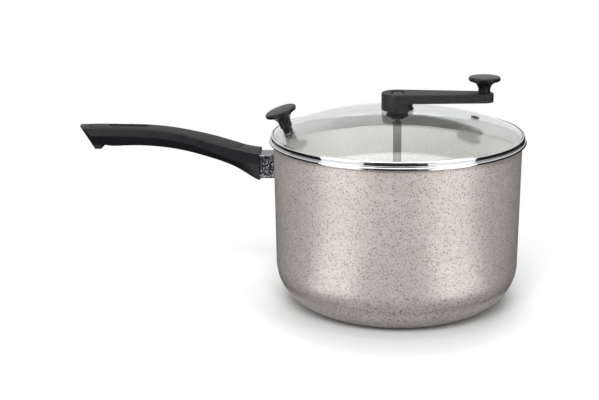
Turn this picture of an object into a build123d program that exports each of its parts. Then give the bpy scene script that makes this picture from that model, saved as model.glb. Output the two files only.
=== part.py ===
from build123d import *
from math import asin, cos, degrees, radians, sin, sqrt, tan
import os

os.makedirs("parts", exist_ok=True)

# Stovetop popcorn popper. The origin is on the stove, on the pan's axis. +Z is up, the long handle
# runs along -X and the crank's arm, at rest, along +X. Lengths are in millimetres, angles in degrees.

# Shared by several pieces
cut_margin = 1.0
screw_gap = 0.2
head_gap = 0.4
thread_gap = 0.05
screw_tip_gap = 1.0
screw_head_dome = 0.4

# Pan
pot_height = 152.8
pot_lip_radius = 113.2
pot_draft = 0.68
pot_wall = 2.5
pot_floor = 4.0
pot_corner_radius = 41.0
pot_lip_round = 0.6
base_groove_count = 4
base_groove_pitch = 14.0
base_groove_width = 1.6
base_groove_depth = 0.4

# Bracket on the pan's wall, with a tang that reaches into the handle
bracket_drop = 12.0
bracket_height = 22.2
bracket_width = 22.6
bracket_reach = 12.6
bracket_round = 2.0
bracket_seat_gap = 0.05
tang_rise = 12.6
tang_height = 8.6
tang_width = 13.0
tang_length = 20.0
tang_round = 1.5
rivet_radius = 2.5
rivet_head_radius = 5.5
rivet_head_height = 2.4
rivet_grip = 7.5
rivet_spacing = 11.4
rivet_gap = 0.1
rivet_head_dome = 0.7

# Handle
handle_gap = 0.1
handle_corner_round = 3.0
handle_crease_round = 1.0
handle_edge_round = 0.8
tip_reach = 166.3
tip_rise = 23.7
tip_lean = 31.5
tip_half_width = 13.6
tip_round = 11.0
tip_stub = 30.0
heel_reach = 145.3
heel_rise = 3.7
heel_slope = 2.0
heel_depth = 8.8
heel_half_width = 7.0
grip_thickness = 2.0
grip_proud = 0.3
grip_gap = 0.1
grip_tip_reach = 149.5
grip_tip_radius = 9.6
grip_tongue_reach = 28.2
grip_tongue_radius = 12.8
hang_slot_reach = 121.5
hang_slot_length = 36.0
hang_slot_width = 8.0
socket_gap = 0.15
handle_screw_reach = 12.5
handle_screw_radius = 1.95
handle_screw_head_radius = 3.7
handle_screw_head_height = 2.4
handle_screw_sink = 5.5

# Glass dome. It is as wide as the pan's lip asks for, and its apex follows from its edge and its arcs.
dome_crown_radius = 340.0
dome_crown_reach = 60.0
dome_skirt_radius = 245.0
glass_overhang = 1.1
glass_thickness = 4.0
glass_edge_rise = 5.84
vent_reach = 70.6
vent_azimuth = 3.0
vent_hole_radius = 2.7
eyelet_sheet = 0.4
eyelet_flange_radius = 4.0
eyelet_gap = 0.1

# Steel rim round the glass
lid_seat_gap = 0.2
rim_sheet = 0.6
rim_glass_gap = 0.6
rim_fit_gap = 0.15
rim_lip_reach = 1.1
rim_bead_height = 3.0
rim_bead_reach = 3.8
rim_groove_depth = 0.3
rim_skirt_gap = 0.8
rim_skirt_depth = 8.2

# Knobs: the two share a disc, and differ in the length of the neck
knob_neck_radius = 5.4
knob_waist_radius = 7.7
knob_flare_radius = 12.6
knob_disc_radius = 14.4
knob_disc_edge = 1.5
knob_disc_height = 4.0
knob_crown = 0.5
knob_under_round = 0.5
knob_upper_round = 0.4
knob_upper_inset = 0.6
knob_flare_start = 0.24
knob_flare_middle = 0.75
lid_knob_neck = 13.2
crank_knob_neck = 10.3
insert_radius = 3.5
insert_length = 8.0
insert_gap = 0.05
insert_depth = 0.6

# The lid's own knob
lid_knob_inset = 13.8
lid_knob_azimuth = 193.7
lid_knob_spacer_height = 5.0
lid_knob_spacer_radius = 4.3
knob_screw_radius = 2.45
knob_screw_head_radius = 4.5
knob_screw_head_height = 2.6
lid_knob_hole_radius = 3.2
lid_knob_gasket_radius = 6.5
gasket_thickness = 0.8
gasket_seat_gap = 0.03

# Shaft, and the bush that carries it through the glass
shaft_radius = 3.9
shaft_running_gap = 0.05
bush_radius = 6.5
bush_hole_gap = 0.25
bush_flange_radius = 9.6
bush_flange_thickness = 1.2
bush_tail = 1.3
nut_across_flats = 17.0
nut_height = 4.0
nut_chamfer = 0.5
thrust_gap = 0.15
thrust_washer_radius = 8.5
thrust_washer_thickness = 0.8
clip_radius = 6.5
clip_thickness = 1.0
clip_groove_depth = 0.6
clip_gap = 0.3
clip_mouth = 5.0
drive_flat_depth = 1.0
drive_depth = 6.6

# Crank
hub_radius = 14.7
hub_clearance = 0.5
hub_recess_gap = 0.9
hub_relief_depth = 1.0
hub_relief_lip = 1.0
hub_web = 2.5
arm_rise = 7.0
arm_thickness = 8.4
arm_reach = 77.8
arm_end_radius = 8.6
arm_edge_round = 1.4
arm_lower_round = 0.6
crank_recess_radius = 6.7
crank_recess_depth = 3.6
crank_screw_radius = 2.45
crank_screw_head_radius = 4.6
crank_screw_head_height = 2.4
crank_screw_length = 12.0
crank_washer_radius = 5.6
crank_washer_thickness = 0.8
driver_slot_width = 1.2
driver_slot_depth = 1.2
driver_slot_length = 5.6
knob_shoulder_radius = 3.0
knob_running_gap = 0.05
knob_foot_gap = 0.3
knob_head_recess_depth = 3.4

# Stirrer
stirrer_floor_gap = 3.5
stirrer_hub_radius = 9.0
stirrer_hub_height = 15.0
stirrer_hub_chamfer = 1.0
stirrer_wire_radius = 1.6
stirrer_wire_rise = 2.2
stirrer_wire_grip = 4.0
stirrer_corner_gap = 6.4
stirrer_arm_count = 2
stirrer_bend_radius = 35.0
stirrer_bend_angle = 36.0
stirrer_pin_radius = 1.25
stirrer_pin_height = 9.5
stirrer_fit_gap = 0.05


def pot_radius(height):
    # outer radius of the pan's drafted wall
    return pot_lip_radius - (pot_height - height) * tan(radians(pot_draft))


# In section the glass is two arcs, a crown and a tighter skirt tangent to it, and a full-round edge,
# which lies over the pan's lip.
glass_radius = pot_lip_radius + glass_overhang
edge_round = glass_thickness / 2
edge_reach = glass_radius - edge_round
edge_height = pot_height + glass_edge_rise
crown_angle = asin(dome_crown_reach / dome_crown_radius)
skirt_centre_x = (dome_crown_radius - dome_skirt_radius) * sin(crown_angle)
edge_angle = asin((edge_reach - skirt_centre_x) / (dome_skirt_radius - edge_round))
skirt_centre_z = edge_height - (dome_skirt_radius - edge_round) * cos(edge_angle)
skirt_centre = (skirt_centre_x, skirt_centre_z)
crown_centre = (0, skirt_centre_z - (dome_crown_radius - dome_skirt_radius) * cos(crown_angle))
dome_apex = crown_centre[1] + dome_crown_radius


def dome_angle(reach):
    # slope of the glass, in radians, at a distance from the axis
    if reach < dome_crown_reach:
        return asin(reach / dome_crown_radius)
    return asin((reach - skirt_centre_x) / dome_skirt_radius)


def dome_height(reach):
    # height of the glass's top face
    if reach < dome_crown_reach:
        return crown_centre[1] + sqrt(dome_crown_radius ** 2 - reach ** 2)
    return skirt_centre_z + sqrt(dome_skirt_radius ** 2 - (reach - skirt_centre_x) ** 2)


def dome_plane(reach, azimuth):
    # plane that touches the glass at a point, with its normal out of the glass
    turn = radians(azimuth)
    lean = dome_angle(reach)
    outward = Vector(cos(turn), sin(turn), 0)
    origin = outward * reach + Vector(0, 0, dome_height(reach))
    return Plane(
        origin=origin,
        x_dir=outward * cos(lean) - Vector(0, 0, sin(lean)),
        z_dir=outward * sin(lean) + Vector(0, 0, cos(lean)),
    )


def disc_sag(radius):
    # how far the glass curves away under a flat washer of this radius
    return radius ** 2 / (2 * (dome_skirt_radius - glass_thickness))


def knob_outline(neck):
    # half section of a mushroom knob, from its foot up
    rim_top = neck + knob_disc_height
    rim_middle = neck + (knob_disc_height - knob_disc_edge) / 2
    crown_radius = (knob_flare_radius ** 2 + knob_crown ** 2) / (2 * knob_crown)
    crown_half = degrees(asin(knob_flare_radius / crown_radius))
    with BuildLine() as outline:
        Polyline(
            (0, rim_top + knob_crown),
            (0, 0),
            (knob_neck_radius, 0),
            (knob_neck_radius, neck * knob_flare_start),
        )
        ThreePointArc(
            (knob_neck_radius, neck * knob_flare_start),
            (knob_waist_radius, neck * knob_flare_middle),
            (knob_flare_radius, neck),
        )
        ThreePointArc(
            (knob_flare_radius, neck),
            (knob_disc_radius - knob_under_round, neck + knob_under_round),
            (knob_disc_radius, rim_middle),
        )
        Line((knob_disc_radius, rim_middle), (knob_disc_radius, rim_middle + knob_disc_edge))
        ThreePointArc(
            (knob_disc_radius, rim_middle + knob_disc_edge),
            (knob_disc_radius - knob_upper_inset, rim_top - knob_upper_round),
            (knob_flare_radius, rim_top),
        )
        crown_middle = (0, rim_top + knob_crown - crown_radius)
        CenterArc(crown_middle, crown_radius, 90 - crown_half, crown_half)
    return outline.line


# Pan body
with BuildPart() as pot_body:
    with BuildSketch(Plane.XZ) as section:
        with BuildLine():
            Polyline(
                (0, 0),
                (pot_radius(0), 0),
                (pot_lip_radius, pot_height),
                (pot_lip_radius - pot_wall, pot_height),
                (pot_radius(pot_floor) - pot_wall, pot_floor),
                (0, pot_floor),
                close=True,
            )
        make_face()
        fillet(section.vertices().sort_by_distance((pot_radius(0), 0))[0], pot_corner_radius)
        inner_corner = (pot_radius(pot_floor) - pot_wall, pot_floor)
        fillet(section.vertices().sort_by_distance(inner_corner)[0], pot_corner_radius - pot_wall)
        fillet(section.vertices().group_by(Axis.Y)[-1], pot_lip_round)
    revolve(axis=Axis.Z)
    with BuildSketch(Plane.XZ):
        with Locations(*[(base_groove_pitch * (ring + 1), 0) for ring in range(base_groove_count)]):
            Rectangle(base_groove_width, 2 * base_groove_depth)
    revolve(axis=Axis.Z, mode=Mode.SUBTRACT)

# Bracket
bracket_top = pot_height - bracket_drop
bracket_bottom = bracket_top - bracket_height
bracket_middle = bracket_top - bracket_height / 2
bracket_face = pot_lip_radius + bracket_reach
seat_low = bracket_bottom - cut_margin
seat_high = bracket_top + cut_margin
tang_bottom = bracket_bottom + tang_rise
tang_end = bracket_face + tang_length
handle_screw_x = -(bracket_face + handle_screw_reach)
rivet_heights = [bracket_middle - rivet_spacing / 2, bracket_middle + rivet_spacing / 2]


def rivet_plane(height):
    # plane of a rivet head's underside, against the inside of the pan, facing out
    low = height - rivet_head_radius
    seat = sqrt((pot_radius(low) - pot_wall) ** 2 - rivet_head_radius ** 2)
    return Plane(origin=(-seat, 0, height), x_dir=(0, 1, 0), z_dir=(-1, 0, 0))


with BuildPart() as handle_bracket:
    with BuildSketch(Plane.XY.offset(bracket_bottom)):
        with Locations((-bracket_face, 0)):
            Rectangle(2 * bracket_reach, bracket_width, align=(Align.MIN, Align.CENTER))
    extrude(amount=bracket_height)
    fillet(edges().filter_by(Axis.X), bracket_round)
    with BuildSketch(Plane.XY.offset(tang_bottom)):
        with Locations((-tang_end, 0)):
            Rectangle(tang_length + bracket_reach / 2, tang_width, align=(Align.MIN, Align.CENTER))
    extrude(amount=tang_height)
    fillet(faces().sort_by(Axis.X)[0].edges().filter_by(Axis.Z), tang_round)
    with BuildSketch(Plane.XZ):
        with BuildLine():
            Polyline(
                (0, seat_low),
                (pot_radius(seat_low) + bracket_seat_gap, seat_low),
                (pot_radius(seat_high) + bracket_seat_gap, seat_high),
                (0, seat_high),
                close=True,
            )
        make_face()
    revolve(axis=Axis.Z, mode=Mode.SUBTRACT)
    for height in rivet_heights:
        with BuildSketch(rivet_plane(height)):
            Circle(rivet_radius + rivet_gap)
        extrude(amount=pot_wall + rivet_grip + rivet_gap, mode=Mode.SUBTRACT)
    with BuildSketch(Plane.XY.offset(tang_bottom)):
        with Locations((handle_screw_x, 0)):
            Circle(handle_screw_radius + thread_gap)
    extrude(amount=tang_height, mode=Mode.SUBTRACT)
handle_bracket.part.label = "handle_bracket"
export_step(handle_bracket.part, "parts/handle_bracket.step")

with BuildPart() as bracket_rivets:
    for height in rivet_heights:
        with BuildSketch(rivet_plane(height)):
            Circle(rivet_radius)
        extrude(amount=pot_wall + rivet_grip)
        with BuildSketch(rivet_plane(height)):
            Circle(rivet_head_radius)
        extrude(amount=-rivet_head_height)
    fillet(faces().group_by(Axis.X)[-1].edges(), rivet_head_height * rivet_head_dome)
bracket_rivets.part.label = "bracket_rivets"
export_step(bracket_rivets.part, "parts/bracket_rivets.step")

# The pan's wall is drilled for the rivets
with BuildPart() as drilled_pot:
    add(pot_body.part)
    for height in rivet_heights:
        with BuildSketch(rivet_plane(height)):
            Circle(rivet_radius + rivet_gap)
        extrude(amount=2 * pot_wall, mode=Mode.SUBTRACT)
drilled_pot.part.label = "pot_body"
export_step(drilled_pot.part, "parts/pot_body.step")

# Handle. Each station is a section square to X, given by its distance beyond the bracket's face, then
# the heights above the bracket's top of the crown, the top edges, the side crease and the underside,
# then the half widths at the top edges, the crease and the underside.
handle_stations = [
    (0.0, 4.3, 1.4, -6.8, -24.2, 14.4, 15.6, 11.5),
    (12.0, 6.1, 3.4, -6.9, -17.8, 14.1, 15.4, 10.4),
    (26.0, 10.0, 6.6, -3.1, -10.2, 13.8, 15.0, 9.1),
    (42.0, 14.8, 10.8, 2.9, -4.6, 13.3, 14.6, 8.1),
    (60.0, 18.7, 15.9, 9.0, 0.4, 12.8, 14.2, 7.5),
    (80.0, 21.9, 20.2, 13.7, 4.5, 12.3, 13.8, 7.1),
    (100.0, 24.1, 22.4, 16.0, 6.6, 11.8, 13.4, 7.0),
    (120.0, 24.7, 23.2, 16.8, 7.0, 11.4, 13.1, 7.0),
    (142.0, 24.9, 23.5, 17.1, 7.0, 11.0, 12.9, 7.0),
]
handle_root = bracket_face + handle_gap

handle_tip = -(handle_root + tip_reach)
slot_centre = -(handle_root + hang_slot_reach)
lean_x = sin(radians(tip_lean))
lean_z = cos(radians(tip_lean))

with BuildPart() as handle_blank:
    for reach, crown, edge, crease, under, edge_half, crease_half, under_half in handle_stations:
        with BuildSketch(Plane.YZ.offset(-(handle_root + reach))) as station:
            with BuildLine():
                ThreePointArc(
                    (-edge_half, bracket_top + edge),
                    (0, bracket_top + crown),
                    (edge_half, bracket_top + edge),
                )
                Polyline(
                    (edge_half, bracket_top + edge),
                    (crease_half, bracket_top + crease),
                    (under_half, bracket_top + under),
                    (-under_half, bracket_top + under),
                    (-crease_half, bracket_top + crease),
                    (-edge_half, bracket_top + edge),
                )
            make_face()
            corners = station.vertices().group_by(Axis.Y)
            fillet(corners[0], handle_corner_round)
            fillet(corners[1], handle_crease_round)
            fillet(corners[2], handle_edge_round)
    loft()
    extrude(faces().sort_by(Axis.X)[0], amount=tip_stub)
    # heel: a short finger stop under the tip
    with BuildSketch(Plane.XZ.offset(-heel_half_width)):
        with BuildLine():
            Polyline(
                (-(handle_root + heel_reach), bracket_top + heel_rise + heel_depth),
                (-(handle_root + heel_reach + heel_slope), bracket_top + heel_rise),
                (handle_tip, bracket_top + heel_rise),
                (handle_tip, bracket_top + heel_rise + heel_depth),
                close=True,
            )
        make_face()
    extrude(amount=2 * heel_half_width)
    # the end is cut on a slant, with its corners rounded in plan
    with BuildSketch(Plane.XY.offset(bracket_top + tip_rise)) as plan:
        with Locations((handle_tip, 0)):
            Rectangle(2 * tip_round, 2 * tip_half_width, align=(Align.MIN, Align.CENTER))
        with Locations((handle_tip + 1.5 * tip_round, 0)):
            Rectangle(-handle_tip, 3 * tip_half_width, align=(Align.MIN, Align.CENTER))
        fillet(plan.vertices().group_by(Axis.X)[0], tip_round)
    extrude(amount=-handle_tip, dir=(lean_x, 0, -lean_z), both=True, mode=Mode.INTERSECT)


def grip_outline(gap):
    # plan of the inlay: a long hull from the tip end to the rounded tongue
    with BuildSketch() as outline:
        with BuildLine():
            CenterArc((-(handle_root + grip_tip_reach), 0), grip_tip_radius + gap, 0, 360)
            CenterArc((-(handle_root + grip_tongue_reach), 0), grip_tongue_radius + gap, 0, 360)
        make_hull()
    return outline.sketch


# what the inlay's pocket takes out of the handle
with BuildPart() as grip_pocket:
    with BuildSketch(Plane.XY.offset(bracket_bottom)):
        add(grip_outline(grip_gap))
    extrude(amount=tip_reach)
    with Locations((0, 0, -(grip_thickness + grip_gap))):
        add(handle_blank.part, mode=Mode.SUBTRACT)

with BuildPart() as handle_body:
    add(handle_blank.part)
    add(grip_pocket.part, mode=Mode.SUBTRACT)
    with BuildSketch(Plane.XY):
        with Locations((slot_centre, 0)):
            SlotOverall(hang_slot_length, hang_slot_width)
    extrude(amount=2 * bracket_top, mode=Mode.SUBTRACT)
    with BuildSketch(Plane.XY.offset(tang_bottom - socket_gap)):
        with Locations((-(tang_end + socket_gap), 0)):
            Rectangle(
                tang_length + socket_gap,
                tang_width + 2 * socket_gap,
                align=(Align.MIN, Align.CENTER),
            )
    extrude(amount=tang_height + 2 * socket_gap, mode=Mode.SUBTRACT)
    with BuildSketch(Plane.XY):
        with Locations((handle_screw_x, 0)):
            Circle(handle_screw_head_radius + head_gap)
    extrude(amount=tang_bottom - handle_screw_sink, mode=Mode.SUBTRACT)
    with BuildSketch(Plane.XY):
        with Locations((handle_screw_x, 0)):
            Circle(handle_screw_radius + screw_gap)
    extrude(amount=tang_bottom, mode=Mode.SUBTRACT)
handle_body.part.label = "handle_body"
export_step(handle_body.part, "parts/handle_body.step")

with BuildPart() as handle_grip:
    with Locations((0, 0, grip_proud)):
        add(handle_blank.part)
    with BuildSketch(Plane.XY.offset(bracket_bottom)):
        add(grip_outline(0))
    extrude(amount=tip_reach, mode=Mode.INTERSECT)
    with Locations((0, 0, -grip_thickness)):
        add(handle_blank.part, mode=Mode.SUBTRACT)
    with BuildSketch(Plane.XY):
        with Locations((slot_centre, 0)):
            SlotOverall(hang_slot_length, hang_slot_width)
    extrude(amount=2 * bracket_top, mode=Mode.SUBTRACT)
handle_grip.part.label = "handle_grip"
export_step(handle_grip.part, "parts/handle_grip.step")

with BuildPart() as handle_screw:
    with BuildSketch(Plane.XY.offset(tang_bottom - handle_screw_sink)):
        with Locations((handle_screw_x, 0)):
            Circle(handle_screw_radius)
    extrude(amount=handle_screw_sink + tang_height - screw_tip_gap)
    with BuildSketch(Plane.XY.offset(tang_bottom - handle_screw_sink)):
        with Locations((handle_screw_x, 0)):
            Circle(handle_screw_head_radius)
    extrude(amount=-handle_screw_head_height)
    fillet(faces().sort_by(Axis.Z)[0].edges(), handle_screw_head_height * screw_head_dome)
    with BuildSketch(Plane.XY.offset(tang_bottom - handle_screw_sink - handle_screw_head_height)):
        with Locations((handle_screw_x, 0)):
            Rectangle(driver_slot_length, driver_slot_width)
            Rectangle(driver_slot_width, driver_slot_length)
    extrude(amount=driver_slot_depth, mode=Mode.SUBTRACT)
handle_screw.part.label = "handle_screw"
export_step(handle_screw.part, "parts/handle_screw.step")

# Glass dome
knob_plane = dome_plane(glass_radius - lid_knob_inset, lid_knob_azimuth)
vent_plane = dome_plane(vent_reach, vent_azimuth)
crown_sweep = degrees(crown_angle)
crown_start = 90 - crown_sweep
skirt_start = 90 - degrees(edge_angle)
skirt_sweep = crown_start - skirt_start

with BuildPart() as glass_lid:
    with BuildSketch(Plane.XZ):
        with BuildLine():
            for depth in (0, glass_thickness):
                CenterArc(crown_centre, dome_crown_radius - depth, crown_start, crown_sweep)
                CenterArc(skirt_centre, dome_skirt_radius - depth, skirt_start, skirt_sweep)
            CenterArc((edge_reach, edge_height), edge_round, skirt_start, -180)
            Line((0, dome_apex), (0, dome_apex - glass_thickness))
        make_face()
    revolve(axis=Axis.Z)
    with BuildSketch(Plane.XY.offset(dome_apex)):
        Circle(bush_radius + bush_hole_gap)
    extrude(amount=-2 * glass_thickness, mode=Mode.SUBTRACT)
    with BuildSketch(knob_plane):
        Circle(lid_knob_hole_radius)
    extrude(amount=2 * glass_thickness, both=True, mode=Mode.SUBTRACT)
    with BuildSketch(vent_plane):
        Circle(vent_hole_radius)
    extrude(amount=2 * glass_thickness, both=True, mode=Mode.SUBTRACT)
glass_lid.part.label = "glass_lid"
export_step(glass_lid.part, "parts/glass_lid.step")

# Eyelet that lines the steam hole, flanged over both faces of the glass
eyelet_top = eyelet_sheet + eyelet_gap
eyelet_bottom = -(glass_thickness + disc_sag(eyelet_flange_radius) + eyelet_gap + eyelet_sheet)
with BuildPart() as vent_eyelet:
    with BuildSketch(vent_plane.offset(eyelet_bottom)):
        Circle(vent_hole_radius - eyelet_gap)
    extrude(amount=eyelet_top - eyelet_bottom)
    for level in (eyelet_bottom, eyelet_top - eyelet_sheet):
        with BuildSketch(vent_plane.offset(level)):
            Circle(eyelet_flange_radius)
        extrude(amount=eyelet_sheet)
    with BuildSketch(vent_plane.offset(eyelet_bottom)):
        Circle(vent_hole_radius - eyelet_gap - eyelet_sheet)
    extrude(amount=eyelet_top - eyelet_bottom, mode=Mode.SUBTRACT)
vent_eyelet.part.label = "vent_eyelet"
export_step(vent_eyelet.part, "parts/vent_eyelet.step")

# Rolled steel rim, in section: a channel round the glass, a bead over the pan's lip, and a skirt
# inside the pan
rim_ledge = edge_height - edge_round - rim_fit_gap
rim_bore = glass_radius + rim_glass_gap
rim_outer = rim_bore + rim_sheet
bead_bottom = pot_height + lid_seat_gap
bead_middle = bead_bottom + rim_bead_height / 2
bead_top = bead_bottom + rim_bead_height
bead_centre = pot_lip_radius + rim_bead_reach - rim_bead_height / 2
skirt_outer = pot_lip_radius - pot_wall - rim_skirt_gap
skirt_inner = skirt_outer - rim_sheet
skirt_bottom = pot_height - rim_skirt_depth
lip_inner = rim_bore - rim_lip_reach
lip_low = edge_height + sqrt(edge_round ** 2 - (lip_inner - edge_reach) ** 2) + rim_fit_gap
lip_centre = (lip_inner, lip_low - rim_lip_reach)
lip_outer_radius = rim_lip_reach + rim_sheet

with BuildPart() as lid_rim:
    with BuildSketch(Plane.XZ) as rim_section:
        with BuildLine():
            Polyline(
                (skirt_inner, skirt_bottom),
                (skirt_inner, rim_ledge + rim_sheet),
                (skirt_outer, rim_ledge + rim_sheet),
                (skirt_outer + rim_sheet, rim_ledge),
                (rim_bore, rim_ledge),
                (rim_bore, lip_centre[1]),
            )
            CenterArc(lip_centre, rim_lip_reach, 0, 90)
            Line((lip_inner, lip_low), (lip_inner, lip_low + rim_sheet))
            CenterArc(lip_centre, lip_outer_radius, 0, 90)
            Polyline(
                (rim_outer, lip_centre[1]),
                (rim_outer, bead_top + 2 * rim_groove_depth),
                (rim_outer - rim_groove_depth, bead_top + rim_groove_depth),
                (rim_outer - rim_groove_depth, bead_top),
                (bead_centre, bead_top),
            )
            ThreePointArc(
                (bead_centre, bead_top),
                (bead_centre + rim_bead_height / 2, bead_middle),
                (bead_centre, bead_bottom),
            )
            Polyline(
                (bead_centre, bead_bottom),
                (skirt_outer, bead_bottom),
                (skirt_outer, skirt_bottom),
                (skirt_inner, skirt_bottom),
            )
        make_face()
    revolve(axis=Axis.Z)
lid_rim.part.label = "lid_rim"
export_step(lid_rim.part, "parts/lid_rim.step")

# Parts of the lid's own knob, stacked along the glass's normal
spacer_top = lid_knob_spacer_height
insert_top = insert_depth + insert_length
gasket_top = -(glass_thickness + disc_sag(lid_knob_gasket_radius) + gasket_seat_gap)

with BuildPart() as lid_knob_spacer:
    with BuildSketch(knob_plane):
        Circle(lid_knob_spacer_radius)
        Circle(lid_knob_hole_radius, mode=Mode.SUBTRACT)
    extrude(amount=spacer_top)
lid_knob_spacer.part.label = "lid_knob_spacer"
export_step(lid_knob_spacer.part, "parts/lid_knob_spacer.step")

with BuildPart() as lid_knob:
    foot = knob_plane.offset(spacer_top).origin
    with BuildSketch(Plane(origin=foot, x_dir=knob_plane.x_dir, z_dir=-knob_plane.y_dir)):
        with BuildLine():
            add(knob_outline(lid_knob_neck))
        make_face()
    revolve(axis=Axis(foot, knob_plane.z_dir))
    with BuildSketch(knob_plane.offset(spacer_top)):
        Circle(insert_radius + insert_gap)
    extrude(amount=insert_top, mode=Mode.SUBTRACT)
lid_knob.part.label = "lid_knob"
export_step(lid_knob.part, "parts/lid_knob.step")

with BuildPart() as lid_knob_insert:
    with BuildSketch(knob_plane.offset(spacer_top + insert_depth)):
        Circle(insert_radius)
        Circle(knob_screw_radius + thread_gap, mode=Mode.SUBTRACT)
    extrude(amount=insert_length)
lid_knob_insert.part.label = "lid_knob_insert"
export_step(lid_knob_insert.part, "parts/lid_knob_insert.step")

with BuildPart() as lid_knob_gasket:
    with BuildSketch(knob_plane.offset(gasket_top)):
        Circle(lid_knob_gasket_radius)
        Circle(lid_knob_hole_radius, mode=Mode.SUBTRACT)
    extrude(amount=-gasket_thickness)
lid_knob_gasket.part.label = "lid_knob_gasket"
export_step(lid_knob_gasket.part, "parts/lid_knob_gasket.step")

with BuildPart() as lid_knob_screw:
    head_seat = gasket_top - gasket_thickness
    with BuildSketch(knob_plane.offset(head_seat)):
        Circle(knob_screw_radius)
    extrude(amount=spacer_top + insert_top - screw_tip_gap - head_seat)
    with BuildSketch(knob_plane.offset(head_seat)):
        Circle(knob_screw_head_radius)
    extrude(amount=-knob_screw_head_height)
    head_face = faces().sort_by(Axis(knob_plane.origin, knob_plane.z_dir))[0]
    fillet(head_face.edges(), knob_screw_head_height * screw_head_dome)
    with BuildSketch(knob_plane.offset(head_seat - knob_screw_head_height)):
        Rectangle(driver_slot_length, driver_slot_width)
        Rectangle(driver_slot_width, driver_slot_length)
    extrude(amount=driver_slot_depth, mode=Mode.SUBTRACT)
lid_knob_screw.part.label = "lid_knob_screw"
export_step(lid_knob_screw.part, "parts/lid_knob_screw.step")

# Bush through the glass, with a gasket on each face and a nut below
flange_bottom = dome_apex + gasket_thickness
flange_top = flange_bottom + bush_flange_thickness
glass_under = dome_apex - glass_thickness
lower_gasket_top = glass_under - disc_sag(bush_flange_radius) - gasket_seat_gap
nut_top = lower_gasket_top - gasket_thickness
nut_bottom = nut_top - nut_height
bush_bottom = nut_bottom - bush_tail

for name, bottom in (("bush_gasket_upper", dome_apex), ("bush_gasket_lower", nut_top)):
    with BuildPart() as bush_gasket:
        with BuildSketch(Plane.XY.offset(bottom)):
            Circle(bush_flange_radius)
            Circle(bush_radius + bush_hole_gap, mode=Mode.SUBTRACT)
        extrude(amount=gasket_thickness)
    bush_gasket.part.label = name
    export_step(bush_gasket.part, f"parts/{name}.step")

with BuildPart() as shaft_bush:
    with BuildSketch(Plane.XY.offset(bush_bottom)):
        Circle(bush_radius)
    extrude(amount=flange_top - bush_bottom)
    with BuildSketch(Plane.XY.offset(flange_bottom)):
        Circle(bush_flange_radius)
    extrude(amount=bush_flange_thickness)
    with BuildSketch(Plane.XY.offset(bush_bottom)):
        Circle(shaft_radius + shaft_running_gap)
    extrude(amount=flange_top - bush_bottom, mode=Mode.SUBTRACT)
shaft_bush.part.label = "shaft_bush"
export_step(shaft_bush.part, "parts/shaft_bush.step")

with BuildPart() as bush_nut:
    with BuildSketch(Plane.XY.offset(nut_bottom)):
        RegularPolygon(nut_across_flats / 2, 6, major_radius=False)
        Circle(bush_radius + thread_gap, mode=Mode.SUBTRACT)
    extrude(amount=nut_height)
    chamfer(edges().group_by(Axis.Z)[0].filter_by(GeomType.LINE), nut_chamfer)
bush_nut.part.label = "bush_nut"
export_step(bush_nut.part, "parts/bush_nut.step")

# Crank: hub and arm
hub_bottom = dome_apex + hub_clearance
arm_bottom = hub_bottom + arm_rise
arm_top = arm_bottom + arm_thickness
thrust_bottom = flange_top + thrust_gap
hub_ceiling = thrust_bottom + thrust_washer_thickness
crank_seat = arm_top - crank_recess_depth
shaft_top = crank_seat - hub_web
drive_bottom = shaft_top - drive_depth
knob_axis = Plane((arm_reach, 0, 0))


def drive_section(radius, flat):
    # round section with one flat, which keys the hub to the shaft
    with BuildSketch() as section:
        Circle(radius)
        with Locations((flat, 0)):
            Rectangle(radius, 2 * radius, align=(Align.MIN, Align.CENTER), mode=Mode.SUBTRACT)
    return section.sketch


with BuildPart() as crank_arm:
    with BuildSketch(Plane.XY.offset(arm_bottom)):
        with BuildLine():
            CenterArc((0, 0), hub_radius, 0, 360)
            CenterArc((arm_reach, 0), arm_end_radius, 0, 360)
        make_hull()
    extrude(amount=arm_thickness)
    fillet(faces().sort_by(Axis.Z)[-1].edges(), arm_edge_round)
    fillet(faces().sort_by(Axis.Z)[0].edges(), arm_lower_round)
    with BuildSketch(Plane.XY.offset(hub_bottom)):
        Circle(hub_radius)
    extrude(amount=arm_rise + arm_thickness / 2)
    with BuildSketch(Plane.XY.offset(hub_bottom + hub_relief_lip)):
        Circle(hub_radius + cut_margin)
        Circle(hub_radius - hub_relief_depth, mode=Mode.SUBTRACT)
        Rectangle(
            2 * hub_radius,
            4 * hub_radius,
            align=(Align.MAX, Align.CENTER),
            mode=Mode.SUBTRACT,
        )
    extrude(amount=arm_rise - hub_relief_lip, mode=Mode.SUBTRACT)
    with BuildSketch(Plane.XY.offset(hub_bottom)):
        Circle(bush_flange_radius + hub_recess_gap)
    extrude(amount=hub_ceiling - hub_bottom, mode=Mode.SUBTRACT)
    with BuildSketch(Plane.XY.offset(hub_ceiling)):
        Circle(shaft_radius + shaft_running_gap)
    extrude(amount=drive_bottom - hub_ceiling, mode=Mode.SUBTRACT)
    with BuildSketch(Plane.XY.offset(drive_bottom)):
        flat = shaft_radius - drive_flat_depth + shaft_running_gap
        add(drive_section(shaft_radius + shaft_running_gap, flat))
    extrude(amount=drive_depth, mode=Mode.SUBTRACT)
    with BuildSketch(Plane.XY.offset(shaft_top)):
        Circle(crank_screw_radius + screw_gap)
    extrude(amount=arm_top - shaft_top, mode=Mode.SUBTRACT)
    with BuildSketch(Plane.XY.offset(crank_seat)):
        Circle(crank_recess_radius)
    extrude(amount=crank_recess_depth, mode=Mode.SUBTRACT)
    with BuildSketch(knob_axis.offset(arm_bottom)):
        Circle(knob_shoulder_radius + knob_running_gap)
    extrude(amount=arm_thickness, mode=Mode.SUBTRACT)
    with BuildSketch(knob_axis.offset(arm_bottom)):
        Circle(knob_screw_head_radius + 2 * head_gap)
    extrude(amount=knob_head_recess_depth, mode=Mode.SUBTRACT)
crank_arm.part.label = "crank_arm"
export_step(crank_arm.part, "parts/crank_arm.step")

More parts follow.
